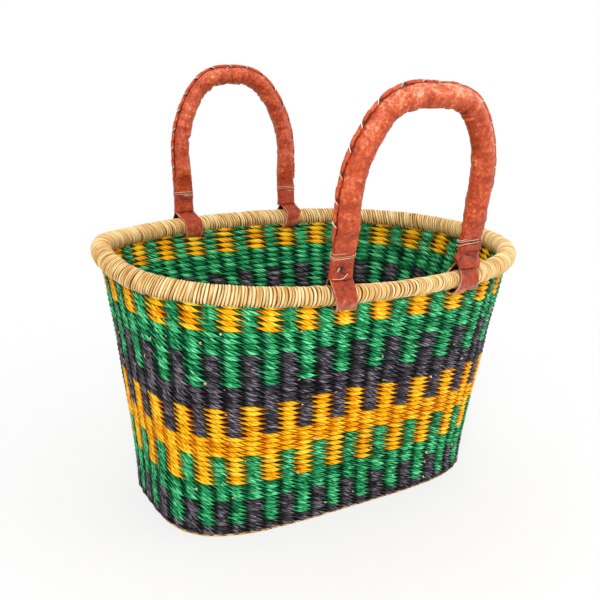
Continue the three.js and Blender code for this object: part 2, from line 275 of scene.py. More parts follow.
def tube_faces(index, closed=False):
    """Quads between the numbered corners of a tube, a row for each place, and of its ends if it has any."""
    here = index if closed else index[:-1]
    there = np.roll(index, -1, axis=0) if closed else index[1:]
    quads = np.stack([here, np.roll(here, -1, 1), np.roll(there, -1, 1), there], axis=-1)
    faces = [quads.reshape(-1, 4)]
    if not closed:
        sides = index.shape[1]
        i = np.arange(sides // 2 - 1)
        for ring, flip in ((index[0], False), (index[-1], True)):
            cap = np.stack([ring[i], ring[sides - 1 - i], ring[sides - 2 - i], ring[i + 1]], axis=-1)
            faces.append(cap[:, ::-1] if flip else cap)
    return np.concatenate(faces)


def new_object(name, data):
    created = bpy.data.objects.new(name, data)
    bpy.context.scene.collection.objects.link(created)
    return created


class Strands:
    """Collects tubes of straw, thread or leather into one mesh, with what their material reads:
    fibre, a straightened place along and across the strand, and tone, a shade that is partly random and
    partly painted shade and highlight."""

    def __init__(self):
        self.points, self.faces, self.fibres, self.tones = [], [], [], []
        self.count = 0

    def put(self, points, faces, fibre, tone):
        """Adds corners with what their material reads, and faces that number those corners from nought."""
        self.points.append(points.reshape(-1, 3))
        self.faces.append(faces + self.count)
        self.fibres.append(fibre.reshape(-1, 3))
        self.tones.append(tone.ravel())
        self.count += tone.size

    def add(
        self, centre, side, rise, half_side, half_rise, section=None, tone=0.5, grain=None, closed=False
    ):
        """section is one outline, or one for each place. tone is one value, or one for each place, or one
        for each place and corner. grain says where each corner lies across the fibres."""
        section = round_section(8) if section is None else section
        n, sides = len(centre), section.shape[-2]
        hs = np.broadcast_to(half_side, n)[:, None]
        hr = np.broadcast_to(half_rise, n)[:, None]
        x, y = hs * section[..., 0], hr * section[..., 1]
        points = centre[:, None] + side[:, None] * x[..., None] + rise[:, None] * y[..., None]
        fibre = np.empty((n, sides, 3))
        fibre[..., 0] = travel(centre)[:, None]
        fibre[..., 1:] = section[..., :2] * [hs.mean(), hr.mean()] if grain is None else grain
        fibre += rng.uniform(0, 5, 3)
        tones = np.broadcast_to(tone[:, None] if np.ndim(tone) == 1 else tone, (n, sides))
        self.put(points, tube_faces(np.arange(n * sides).reshape(n, sides), closed), fibre, tones)

    def add_path(self, centre, normal, half_side, half_rise, tone):
        """Adds a tube whose section is square to its path. normal says which way its sides lean."""
        tangent = unit(np.gradient(centre, axis=0))
        side = unit(normal - (normal * tangent).sum(1, keepdims=True) * tangent)
        self.add(centre, side, np.cross(tangent, side), half_side, half_rise, tone=tone)

    def build(self, name, material):
        faces = np.concatenate(self.faces)
        mesh = bpy.data.meshes.new(name)
        mesh.from_pydata(np.concatenate(self.points), [], faces)
        mesh.polygons.foreach_set("use_smooth", np.ones(len(faces), bool))
        fibre = mesh.attributes.new("fibre", "FLOAT_VECTOR", "POINT")
        fibre.data.foreach_set("vector", np.concatenate(self.fibres).astype(np.float32).ravel())
        tone = mesh.attributes.new("tone", "FLOAT", "POINT")
        tone.data.foreach_set("value", np.concatenate(self.tones).astype(np.float32))
        mesh.materials.append(MATERIALS[material])
        mesh.validate()
        recalculate_outward(mesh)
        return new_object(name, mesh)


def recalculate_outward(mesh):
    """Turns a whole mesh inside out if its volume comes out negative."""
    mesh.calc_loop_triangles()
    n = len(mesh.loop_triangles)
    corners = np.empty(n * 3, np.int32)
    mesh.loop_triangles.foreach_get("vertices", corners)
    co = np.empty(len(mesh.vertices) * 3, np.float32)
    mesh.vertices.foreach_get("co", co)
    t = co.reshape(-1, 3)[corners].reshape(-1, 3, 3).astype(float)
    if np.einsum("ij,ij->i", t[:, 0], np.cross(t[:, 1], t[:, 2])).sum() < 0:
        mesh.flip_normals()


def dress(batch, name, body, slot, *nodes, material=None, place=None):
    """Builds a piece, puts it on its body, and hides the nodes it replaces. Its
    material is the one named after its slot, unless another is given."""
    piece = batch.build(name, material or slot)
    if place:
        piece.data.transform(place)
    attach(piece, body)
    if nodes:
        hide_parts(*nodes)


def smooth_random(count, samples, spread):
    """Random values at count places round a loop, eased between them at the samples from 0 to count."""
    values = rng.uniform(-spread, spread, count)
    i = np.floor(samples).astype(int)
    t = smoothstep(samples - i, 0, 1)
    return values[i % count] * (1 - t) + values[(i + 1) % count] * t


# Materials, by name: Blender's own list also has the part's plain ones, which have the same names

MATERIALS = {}

# Fine lines of straw, for each metre along and across it
LINES_ALONG = 60.0
LINES_ACROSS = 1000.0


def node_material(name):
    material = bpy.data.materials.new(name)
    material.use_nodes = True
    MATERIALS[name] = material
    tree = material.node_tree
    return material, tree, tree.nodes["Principled BSDF"]


def give(tree, socket, value):
    """Links an input to another node's output, or sets it to a plain value."""
    if isinstance(value, bpy.types.NodeSocket):
        tree.links.new(value, socket)
    else:
        socket.default_value = value


def set_inputs(tree, node, settings):
    """Settings name a node's inputs, or else its own options."""
    for key, value in settings.items():
        if key in node.inputs:
            give(tree, node.inputs[key], value)
        else:
            setattr(node, key, value)


def add_node(tree, kind, *values, **settings):
    """A new node, with its settings by name, and values for its first inputs in their order."""
    node = tree.nodes.new(kind)
    set_inputs(tree, node, settings)
    for socket, value in zip(node.inputs, values, strict=False):
        give(tree, socket, value)
    return node


def multiply_add(tree, value, factor, added):
    return add_node(tree, "ShaderNodeMath", value, factor, added, operation="MULTIPLY_ADD").outputs[0]


def map_range(tree, value, low, high, **settings):
    """A value from 0 to 1, or in another range that the settings give, taken to run from low to high."""
    ends = {"To Min": low, "To Max": high}
    return add_node(tree, "ShaderNodeMapRange", Value=value, **ends, **settings).outputs["Result"]


def add_bump(tree, height, strength, distance, **settings):
    node = add_node(tree, "ShaderNodeBump", Height=height, Strength=strength, Distance=distance, **settings)
    return node.outputs["Normal"]


def add_noise(tree, place, scale, detail, roughness):
    node = add_node(
        tree, "ShaderNodeTexNoise", Vector=place, Scale=scale, Detail=detail, Roughness=roughness
    )
    return node.outputs["Fac"]


def attribute(tree, name, output):
    """What a mesh says at each of its points."""
    return add_node(tree, "ShaderNodeAttribute", attribute_name=name).outputs[output]


def srgb(r, g, b):
    """A colour as a screen shows it, from 0 to 255, as the linear colour that materials take."""
    return tuple(((c / 255 + 0.055) / 1.055) ** 2.4 if c > 10 else c / 255 / 12.92 for c in (r, g, b))


def ramp(tree, value, stops):
    """The colour for a value from 0 to 1, between stops with colours as a screen shows them."""
    node = add_node(tree, "ShaderNodeValToRGB", Fac=value)
    while len(node.color_ramp.elements) < len(stops):
        node.color_ramp.elements.new(0.5)
    for element, (place, colour) in zip(node.color_ramp.elements, stops, strict=True):
        element.position = place
        element.color = (*srgb(*colour), 1)
    return node.outputs["Color"]


def finish_material(tree, shader, colour, roughness, specular, normal):
    """Gives a shader its colour, gloss and relief."""
    named = {"Base Color": colour, "Roughness": roughness, "Specular IOR Level": specular, "Normal": normal}
    set_inputs(tree, shader, named)


def straw_material(name, painted_gap_shade, dark, middle, pale_fibre_and_highlight, roughness, specular=0.3):
    """Dyed or natural grass: fine lines along the strand, and a shade for each stitch and straw. Its darkest
    stop is painted shade in the gaps and grooves, and its palest stop is partly pale fibre and partly
    painted highlight.
    """
    _, tree, shader = node_material(name)
    scale = (LINES_ALONG, LINES_ACROSS, LINES_ACROSS)
    drawn_out = add_node(tree, "ShaderNodeMapping", Vector=attribute(tree, "fibre", "Vector"), Scale=scale)
    lines = add_noise(tree, drawn_out.outputs["Vector"], 1.0, 3.0, 0.6)
    shade = multiply_add(tree, attribute(tree, "tone", "Fac"), 0.5, -0.365)
    blend = multiply_add(tree, lines, 1.25, shade)
    # painted shade at the darkest stop; the palest is partly painted highlight
    colour = ramp(tree, blend, [(0.1, painted_gap_shade), (0.34, dark), (0.53, middle), (0.74, pale_fibre_and_highlight)])
    gloss = map_range(tree, lines, roughness - 0.1, roughness + 0.15)
    finish_material(tree, shader, colour, gloss, specular, add_bump(tree, lines, 0.6, 0.4 * MM))


def leather_material(name, deep, middle, worn, scuffed_and_highlight, roughness):
    """Tanned leather: mottled colour, paler where it is rubbed, with a fine grain. Its black stop is painted
    shade in pits, folds and crumples, and its palest stop is partly scuffs and partly painted highlight.
    """
    _, tree, shader = node_material(name)
    place = tree.nodes.new("ShaderNodeTexCoord").outputs["Object"]
    clouds = add_noise(tree, place, 90.0, 4.0, 0.5)
    rubs = add_noise(tree, place, 420.0, 4.0, 0.7)
    pores = add_noise(tree, place, 900.0, 3.0, 0.6)
    grain = add_node(tree, "ShaderNodeTexVoronoi", Vector=place, Scale=1300.0).outputs["Distance"]
    total = -0.18
    for source, weight in ((clouds, 0.45), (rubs, 0.92), (attribute(tree, "tone", "Fac"), 0.6)):
        total = multiply_add(tree, source, weight, total)
    # painted shade at the black stop; the palest is partly painted highlight
    stops = [(0.0, (26, 9, 6)), (0.2, deep), (0.5, middle), (0.68, worn), (0.92, scuffed_and_highlight)]
    gloss = map_range(tree, rubs, roughness + 0.15, roughness - 0.15)
    fine = add_bump(tree, multiply_add(tree, grain, 0.5, pores), 0.35, 0.2 * MM)
    coarse = add_bump(tree, rubs, 0.55, 1.0 * MM, Normal=fine)
    finish_material(tree, shader, ramp(tree, total, stops), gloss, 0.28, coarse)


straw_material("green_straw", (4, 16, 8), (12, 104, 58), (46, 172, 106), (126, 242, 172), 0.45, 0.06)
straw_material("dark_straw", (4, 3, 3), (38, 35, 39), (74, 69, 76), (146, 139, 150), 0.42, 0.06)
straw_material("yellow_straw", (178, 82, 0), (242, 152, 0), (255, 200, 12), (255, 234, 84), 0.5, 0.06)
straw_material("natural_straw", (90, 50, 14), (196, 144, 76), (234, 192, 122), (255, 234, 186), 0.5, 0.12)
leather_material("sleeve_leather", (134, 46, 22), (190, 72, 34), (218, 104, 62), (246, 178, 142), 0.34)
leather_material("strap_leather", (96, 28, 12), (172, 62, 26), (180, 80, 50), (216, 152, 120), 0.42)
# painted shade: near-black straw for the stakes, seen in the gaps between stitches
straw_material("shaded_straw", (8, 8, 6), (16, 18, 14), (30, 28, 20), (50, 44, 32), 0.8)
straw_material("thread", (120, 84, 60), (190, 146, 112), (224, 196, 164), (248, 234, 212), 0.7)


# Weave: pairs of strands twined round sixty stakes

STAKES = 60
TIP = 0.29
FACE = 0.96
ROW_SQUARENESS = 2.3
ROW_DEPTH = 3.9 * MM
ARC = np.radians(np.linspace(-84, 84, 13))
STRAWS = 3
TIP_SPREAD = 0.22
TIP_STEPS = np.array([-1.35, -0.9, -0.45, 0, 0.45, 0.9, 1.35])
ROW_OVERLAP = 1.1
GROOVE_DEPTH = 0.07
EDGE_DEPTH = 0.1
BACK_SIZE = 0.5
STITCH_TONE = 0.58
STRAW_TONE_SPREAD = 0.26
# Painted shade in the grooves, at the row edges and on the back
GROOVE_PAINTED_SHADE = 0.62
FIBRE_SLANT = 0.17

# How rows stray up and down, in millimetres. Each wave has its size, its number round the wall, and its
# turn at the foot and from there to the rim. Each bell has its size, share round the wall, and width.
ROW_WAVES = [(0.9, 2, 0, 9), (0.6, 5, 1.7, -14), (0.25, 13, 0, 23)]
CROWDED_ROWS = [(7.5, 0.715, 0.06)]
RAISED_ROWS = [(1.8, 0.82, 0.04)]
SAGGING_ROWS = [(4, 0.49, 0.035), (3, 0.875, 0.03)]
LEFT_DROP = 1.5
FOOT_DROP = 2.7

# How far the rim stands up at the left end and dips between the front straps, with share round it and width
RIM_RISE = 7.5 * MM
RISEN_SHARES = (0.455, 0.055)
RIM_DIP = 1.0 * MM
DIPPED_SHARES = (0.745, 0.04)

# Shares round the wall of the block columns on the front, left to right, at the foot and at the rim
FOOT_COLUMNS = [0.471, 0.511, 0.555, 0.586, 0.614, 0.65, 0.686, 0.7235, 0.76, 0.8, 0.8365, 0.872, 0.901]
RIM_COLUMNS = [0.4945, 0.523, 0.556, 0.584, 0.613, 0.641, 0.667, 0.694, 0.7235, 0.7595, 0.799, 0.839, 0.87]
FIRST_COLUMN = 30


def stake_share(c, z):
    """Share round the wall of a stake at a height, with stakes counted from 0 to sixty. Even ones lie under
    the block columns."""
    known = FIRST_COLUMN + 2 * np.arange(len(RIM_COLUMNS))
    places = np.concatenate([known, [FIRST_COLUMN + STAKES]])
    foot, rim = (
        np.interp((c - FIRST_COLUMN) % STAKES + FIRST_COLUMN, places, [*columns, columns[0] + 1])
        for columns in (FOOT_COLUMNS, RIM_COLUMNS)
    )
    return lerp(foot, rim, z / RIM_HEIGHT)


def wander(u, z):
    """How far a row strays up or down at a place on the wall."""
    waves = sum(
        size * np.sin(TAU * number * u + start + turn * z / RIM_HEIGHT)
        for size, number, start, turn in ROW_WAVES
    )
    fade = smoothstep(z, 0, 30 * MM) * (1 - smoothstep(z, RIM_HEIGHT - 30 * MM, RIM_HEIGHT))
    under_rim = 1 - smoothstep(z, RIM_HEIGHT - 42 * MM, RIM_HEIGHT)
    above_foot = smoothstep(z, 45 * MM, 100 * MM)
    crowd = bells(u, CROWDED_ROWS) * above_foot * under_rim
    right = bells(u, RAISED_ROWS) * above_foot * under_rim
    left = -LEFT_DROP * (1 - smoothstep(u, 0.58, 0.63)) * smoothstep(z, 80 * MM, 120 * MM) * under_rim
    lower = 1 - smoothstep(z, 70 * MM, 110 * MM)
    sag = -bells(u, SAGGING_ROWS) * (smoothstep(z, 0, 35 * MM) * lower) - FOOT_DROP * lower
    return (waves * fade + crowd + left + right + sag) * MM


def rim_rise(u):
    """How far the rim stands up at the left end, where it was pulled up in weaving."""
    return RIM_RISE * bell(u, *RISEN_SHARES)


def strap_parting(points, z):
    """Rows part above and below the slits that the straps pass through."""
    slit = RIM_HEIGHT - STRAP_HUG - STRAP_SAG
    offset = np.where(points[:, 1] < 0, OFFSETS[-1], OFFSETS[1])
    away = np.abs(np.abs(points[:, 0] - offset) - FOOT_X)
    near = 1 - smoothstep(away, STRAP_WIDTH / 2 - 1 * MM, STRAP_WIDTH / 2 + 7 * MM)
    side = np.where(z >= slit, 1, -1)
    fall = np.exp(-np.abs(z - slit) / (8 * MM))
    return near * side * fall * 1.0 * MM * (np.abs(points[:, 1]) > 0.1)


def half_sections(turn):
    """The half of a row's outline that faces each direction in turn, closed by a flat back. Its grooves,
    edges and back are marked for painted shade.
    """
    angle = turn[:, None] + ARC
    x = signed_power(np.cos(angle), 2 / ROW_SQUARENESS)
    y = signed_power(np.sin(angle), 2 / ROW_SQUARENESS)
    index = np.arange(len(ARC))
    groove = (index % ((len(ARC) - 1) // STRAWS) == 0).astype(float)
    edge = np.clip(np.abs(index - index.mean()) - 4.6, 0, None) / 1.4
    fold = 1 - GROOVE_DEPTH * groove - EDGE_DEPTH * edge
    face = np.stack([x * fold, y * fold, np.broadcast_to(groove + edge, x.shape)], axis=-1)
    toward = 0.1 * np.stack([np.cos(turn), np.sin(turn)], axis=1)
    back = [
        np.concatenate([BACK_SIZE * face[:, k, :2] + toward, np.ones((len(turn), 1))], axis=1)[:, None]
        for k in (-1, 0)
    ]
    return np.concatenate([face, *back], axis=1)


def twine(row_z, half_pitch, stakes, at, batches, depth=ROW_DEPTH, uneven=1.0):
    """Two strands that swap sides between each two stakes, the front one going down behind the next.
    at(c, z) gives points, normals and upward directions."""
    tip = TIP * (1 + uneven * rng.uniform(-TIP_SPREAD, TIP_SPREAD, stakes))[:, None]
    inner = tip * TIP_STEPS
    t = np.concatenate([np.full((stakes, 1), -0.5), inner], axis=1)
    k = np.arange(stakes)[:, None]
    slide = np.clip(-t / tip / 1.4, -1, 1)
    height = (1.5 * slide - 0.5 * slide**3) * FACE
    parting = np.sign(height) * np.arcsin(np.abs(height) ** (ROW_SQUARENESS / 2))
    rest = np.clip((np.abs(t) - tip) / (0.5 - tip), 0, 1) ** 2
    parting += np.sign(-t) * (math.pi / 2 - math.asin(FACE ** (ROW_SQUARENESS / 2))) * rest
    turn = (parting - math.pi / 2 - math.pi * k).ravel()
    c = (k + 0.5 + t).ravel()
    crossing = (np.cos(math.pi * t) ** 2).ravel()
    points, normal, up = at(c, row_z)
    centre = points + up * smooth_random(stakes, c, 0.3 * MM * uneven)[:, None]
    half_up = half_pitch * ROW_OVERLAP * (1 - 0.13 * crossing)
    half_up = half_up * (1 + smooth_random(stakes, c, 0.06 * uneven))
    half_out = depth * (1 - 0.22 * crossing)
    straw = np.clip(np.arange(len(ARC) + 2) * STRAWS // len(ARC), 0, STRAWS - 1)
    grain = np.zeros((len(c), len(ARC) + 2, 2))
    grain[..., 0] = FIBRE_SLANT * travel(centre)[:, None]
    grain[:, : len(ARC), 0] += ARC * half_pitch
    for strand, batch in enumerate(batches):
        section = half_sections(turn + math.pi * strand)
        # painted shade where the strand goes behind its neighbour at the crossing
        stitch = STITCH_TONE + smooth_random(stakes, c, 0.15) - 0.4 * crossing**3
        shades = rng.uniform(-STRAW_TONE_SPREAD, STRAW_TONE_SPREAD, (stakes + 1, STRAWS))
        shades = shades[((c + strand) // 2).astype(int)][:, straw]
        # painted shade in the grooves between straws, at the row's edges and on the back
        tone = stitch[:, None] + shades - GROOVE_PAINTED_SHADE * section[..., 2]
        fat = 1 + smooth_random(stakes, c, 0.06 * uneven)
        batch.add(centre, normal, up, half_out * fat, half_up, section, tone, grain, closed=True)


def wall_row(c, row_z):
    """Places along a row of the wall, strayed, raised with the rim and parted at the straps."""
    u = stake_share(c, row_z)
    z = np.full(len(c), row_z)
    z = z + wander(u, z) + rim_rise(u) * smoothstep(z, 150 * MM, RIM_HEIGHT)
    points, _, _ = wall.at(u, z)
    return wall.at(u, z + strap_parting(points, z))


def make_weave():
    """The five courses of the wall. Each has its node, its plain colour and the two that make its blocks."""
    courses = [
        ("weave_dark_foot", "dark", "green", "dark"),
        ("weave_green_lower", "green", "yellow", "green"),
        ("weave_yellow", "yellow", "dark", "yellow"),
        ("weave_dark_upper", "dark", "green", "dark"),
        ("weave_green_top", "green", "yellow", "green"),
    ]
    row = 0
    for i, (node, plain, even, odd) in enumerate(courses):
        batches = {plain: Strands(), even: Strands()}
        plain_rows = FOOT_PLAIN_ROWS if i == 0 else PLAIN_ROWS
        for k in range(plain_rows + PATTERN_ROWS):
            low, high = row_height(row), row_height(row + 1)
            row += 1
            if row == ROWS:
                continue
            pair = [batches[plain]] * 2 if k < plain_rows else [batches[even], batches[odd]]
            twine((low + high) / 2, (high - low) / 2, STAKES, wall_row, pair)
        for colour, batch in batches.items():
            replaced = [node] if colour == plain else []
            dress(batch, f"{node}_{colour}_strands", "basket", f"{colour}_straw", *replaced)


def make_stakes():
    """Upright bundles of straw that the strands are twined round, two for each stitch. They are near-black,
    as painted shade seen in the gaps between stitches.
    """
    batch = Strands()
    z = np.linspace(BORDER_HEIGHT, RIM_HEIGHT - RIM_CORE_RADIUS, 34)
    lengths = [even_oval(*oval_at(height), 4)[2] for height in z]
    for k in range(2 * STAKES):
        before, here, after = (stake_share(np.full(len(z), (k + step) / 2), z) for step in (-1, 0, 1))
        points, normal, up = wall.at(here, z)
        half_width = 0.27 * ((after - before) % 1) * np.array(lengths)
        beside = np.cross(up, normal)
        batch.add(points, normal, beside, 0.6 * MM, half_width, tone=rng.uniform(0.1, 0.6))
    dress(batch, "stakes", "basket", "natural_straw", material="shaded_straw")


TUFTS = 150


def make_tufts():
    """Cut ends of straw that stand out between the rows, mostly in pairs."""
    batch = Strands()
    for _ in range(TUFTS):
        row = rng.integers(1, ROWS - 4)
        c = rng.integers(0, STAKES) + 0.5 + rng.uniform(-0.2, 0.2)
        z = row_height(row) + rng.uniform(-1, 1) * MM
        point, normal, up = (v[0] for v in wall_row(np.array([c]), z))
        along = np.cross(up, normal)
        lean = rng.uniform(0.2, 1) * along + rng.choice([-1, 1]) * rng.uniform(0.3, 1) * up
        lean = unit(unit(lean) + 0.45 * normal)
        beside = unit(np.cross(lean, normal))
        for k in range(rng.integers(1, 4)):
            length = rng.uniform(1.4, 3.0) * MM
            t = np.linspace(0, 1, 4)[:, None]
            start = point + normal * 2.9 * MM + beside * 0.8 * MM * k
            path = start + unit(lean + rng.uniform(-0.25, 0.25, 3)) * length * t
            radius = rng.uniform(0.28, 0.42) * MM * (1 - 0.3 * t[:, 0])
            batch.add_path(path, np.tile(beside, (4, 1)), radius, radius * 0.7, tone=rng.uniform(0.5, 1.1))
    dress(batch, "straw_ends", "basket", "natural_straw")


def rim_frame(u):
    """Middle of the rim, and the directions across it and up along the slanted wall."""
    return wall.at(u, RIM_HEIGHT + rim_rise(u % 1) - RIM_DIP * bell(u % 1, *DIPPED_SHARES))


# How far the turns of the rim's strip lean, by share round the wall, in millimetres
RIM_LEAN = (
    [0, 0.45, 0.52, 0.56, 0.6, 0.66, 0.72, 0.76, 0.8, 0.84, 0.92, 1],
    [2, 3, 6, 5, 2.6, 1.6, 2.2, 3.8, 4, 3, 2.4, 2],
)

# Radius of the middle of the strip's turns, by share round the wall, in millimetres
RIM_GIRTH = (
    [0, 0.4, 0.5, 0.55, 0.6, 0.66, 0.69, 0.715, 0.73, 0.79, 0.81, 0.83, 1],
    [7.9, 7.9, 8.2, 8.0, 7.4, 7.0, 6.7, 6.3, 5.8, 5.8, 6.8, 7.7, 7.9],
)
# The rim's strip, and the straws of its core
RIM_TURNS = 408
STEPS_PER_TURN = 26
STRIP_HALF_THICKNESS = 1.75 * MM
CORE_STRAWS = 7
CORE_STEPS = 300
CORE_STRAW_RADIUS = 1.85 * MM
CORE_RING_RADIUS = 3.7 * MM
CORE_TWISTS = 9


def make_rim():
    """The straw strip wound round the rim, and the bundle of straws inside it."""
    turns = RIM_TURNS
    pitch = 1 + rng.uniform(-0.22, 0.22, turns)
    edges = np.concatenate([[0], np.cumsum(pitch)]) / pitch.sum()
    t = np.arange(turns * STEPS_PER_TURN) / STEPS_PER_TURN
    knots = np.arange(-1, turns + 2)
    shares = np.concatenate([[edges[-2] - 1], edges, [edges[1] + 1]])
    u = np.interp(t, knots, shares)
    spacing = np.interp(t + 0.5, knots, shares) - np.interp(t - 0.5, knots, shares)
    turn = -TAU * t
    length = even_oval(*oval_at(RIM_HEIGHT), wall.SHARES)[2]
    lean = np.interp(u, *RIM_LEAN) * MM + smooth_random(turns // 6, t / 6 % (turns // 6), 0.9 * MM)
    lean = lean + smooth_random(turns, t, 0.25 * MM)
    point, out, up = rim_frame(u + lean * np.sin(turn + 0.5) / length)
    tangent = np.cross(up, out)
    under = smoothstep(-np.sin(turn), 0.35, 0.95)
    radius = np.interp(u % 1, *RIM_GIRTH) * MM
    radius = radius + smooth_random(turns, t + 0.5, 0.3 * MM) * (1 + 1.2 * under)
    radius = radius + smooth_random(turns * 3, t * 3, 0.2 * MM)
    radial = around(out, up, turn)
    centre = point + radial * radius[:, None]
    width = spacing * length / 2 * (1 + smooth_random(turns * 3, t * 3, 0.14)) * (1 - 0.3 * under)
    section = cord_section()
    shades = rng.uniform(-0.14, 0.14, turns)[np.floor(t - 0.25).astype(int)]
    # painted shade towards each turn's edges, in the grooves between turns
    tone = (0.64 + smooth_random(turns * 5, t * 5, 0.22) + shades)[:, None] - 1.05 * section[:, 2]
    batch = Strands()
    batch.add(centre, tangent, radial, width, STRIP_HALF_THICKNESS, section, tone, closed=True)
    dress(batch, "rim_wrap_strip", "basket", "natural_straw", "rim_wrap")

    core = Strands()
    u = np.arange(CORE_STEPS) / CORE_STEPS
    point, out, up = rim_frame(u)
    section = round_section(6)
    for k in range(CORE_STRAWS):
        spin = TAU * (k / (CORE_STRAWS - 1) + CORE_TWISTS * u)
        away = 0 if k == CORE_STRAWS - 1 else CORE_RING_RADIUS
        middle = point + around(out, up, spin, away)
        shade = rng.uniform(0.2, 0.8)
        core.add(middle, out, up, CORE_STRAW_RADIUS, CORE_STRAW_RADIUS, section, shade, closed=True)
    dress(core, "rim_core_straws", "basket", "natural_straw", "rim_core")


BORDER_INSET = 0.6 * MM
BORDER_STAKES = 84
PANEL_EDGE = 4.0 * MM
PANEL_PITCH = 5.6 * MM
PANEL_STITCH = 15 * MM
PANEL_SQUARENESS = 2.9


def make_base():
    """Natural straw border, and the flat bottom twined in rings from the edge to the middle."""
    border = Strands()

    def border_row(c, z):
        points, normal, up = wall.at(c / BORDER_STAKES, np.full(len(c), z))
        return points - normal * BORDER_INSET, normal, up

    twine(1.3 * MM, 1.25 * MM, BORDER_STAKES, border_row, [border, border], depth=2.9 * MM, uneven=0.3)
    dress(border, "base_border_strands", "basket", "natural_straw", "base_border")

    panel = Strands()
    a, b, squareness = oval_at(0)
    bulge = wall.stray()[0] * MM
    rings = int((b - PANEL_EDGE) / PANEL_PITCH) + 1
    for k in range(rings):
        inward = PANEL_EDGE + (k + 0.3) * PANEL_PITCH
        ring_a, ring_b = a - inward, b - inward
        square = lerp(squareness, PANEL_SQUARENESS, k / rings)
        count = max(2 * round((ring_a + ring_b) * 4 * 0.9 / PANEL_STITCH / 2), 8)
        table, out, _ = even_oval(ring_a, max(ring_b, 1.5 * MM), square, wall.SHARES)

        def ring_row(c, z, table=table, out=out, count=count):
            j = (c / count * wall.SHARES) % wall.SHARES
            i = j.astype(int)
            f = (j - i)[:, None]
            after = (i + 1) % wall.SHARES
            o = unit(out[i] * (1 - f) + out[after] * f)
            p = table[i] * (1 - f) + table[after] * f + o * bulge[i][:, None]
            flat = np.zeros((len(c), 1))
            points = np.concatenate([p, flat + z], axis=1)
            return points, np.tile([0.0, 0.0, 1.0], (len(c), 1)), np.concatenate([o, flat], axis=1)

        twine(2.2 * MM, 0.68 * PANEL_PITCH, count, ring_row, [panel, panel], depth=2.0 * MM)
    dress(panel, "base_panel_strands", "basket", "natural_straw", "base_panel")


# Handles

STITCH_PITCH = 19 * MM
SLEEVE_STATIONS = 340
SLEEVE_SIDES = 80
WELT_STATIONS = 560
ROPE_STATIONS = 260
ROPE_STRANDS = 3
ROPE_LAY = 44 * MM
ROPE_RING_RADIUS = 3.4 * MM
ROPE_STRAND_RADIUS = 3.6 * MM
STITCH_RADIUS = 1.5 * MM
STITCH_THREAD_RADIUS = 0.42 * MM
STITCH_HALF_SLANT = 3.6 * MM
STRAP_SECTIONS = 120
STRAP_ACROSS = 15
STRAP_SKIN = 0.95 * MM
BINDING_TURNS = 2.5
BINDING_STEPS = 200
BINDING_RADIUS = 0.34 * MM

# Places round a strap's loop, in half turns from its top, at which its sideways drift is given
DRIFT_PLACES = (0, 0.4, 0.75, 1, 1.3, 1.7, 2)

# Degrees that the seam lies off the outer edge, towards the outside of the basket, by share of the arch
SEAM_WANDER = {
    -1: ([0, 0.3, 0.44, 0.53, 0.59, 0.65, 0.72, 0.84, 0.9, 1], [4, 0, -6, -36, -28, 16, 27, 24, 6, 2]),
    1: ([0, 0.3, 0.5, 0.7, 1], [-4, -6, -10, -14, -10]),
}
# Radius of the sleeve by share of the arch, in millimetres
GIRTH = {
    -1: ([0, 0.32, 0.5, 0.7, 1], [10.9, 10.9, 9.9, 10.2, 10.3]),
    1: ([0, 1], [9.4, 9.4]),
}
# Folds on the inside of the arch: share of the arch, slant, and depth in millimetres. The depth also darkens
# each fold as painted shade.
FOLDS = {
    -1: [(0.545, 0.5, 0.5), (0.6, 0.3, 1.3), (0.617, 0.2, 0.9), (0.64, 0.2, 0.5)],
    1: [
        (0.36, 0.3, 0.6),
        (0.455, 1.2, 1.2),
        (0.5, -0.6, 1.1),
        (0.56, 0.4, 0.8),
        (0.66, 0.2, 0.7),
        (0.74, 0.2, 0.7),
    ],
}
# Hollows on the outer face of a foot, all in millimetres: place along the rim, height, half sizes and depth.
# The depth also darkens each hollow as painted shade.
PITS = {
    -1: [
        (-70.5, 24.6, 2.2, 1.8, 1.7),
        (-66, 21, 4, 0.8, 0.7),
        (68.5, 23, 2.4, 0.8, 0.9),
        (72, 21.6, 2.2, 0.5, 0.6),
        (75.5, 20.2, 2.0, 0.5, 0.4),
        (71, 17, 0.6, 2.6, 0.45),
        (72, 34, 4.0, 0.8, 0.5),
    ],
    1: [(-70.5, 25.6, 1.9, 1.7, 1.3), (65, 25.6, 1.9, 1.7, 1.3)],
}
# How far the outer face of each foot hangs down over its strap, left and right, in millimetres
HANGS = {-1: (1.4, 4.5), 1: (1.4, 1.4)}
# How far that makes it stand out, for each unit of its drop
HANG_OUT = 1.05


def handle_frame(side):
    """The matrix from a handle's own plane to the basket's frame."""
    (x, y), turn = hinge_line(side)
    lean = Matrix.Rotation(-side * LEANS[side], 4, "X")
    return Matrix.Translation((x, y, RIM_HEIGHT)) @ Matrix.Rotation(turn, 4, "Z") @ lean


def set_on_handle(batch, side, name, slot, node, material=None):
    """Builds a piece that is laid out in its handle's own plane."""
    handle = HANDLE_NAMES[side]
    place = handle_frame(side)
    replaced = f"{handle}_{node}"
    dress(batch, f"{handle}_{name}", f"{handle}_handle", slot, replaced, material=material, place=place)


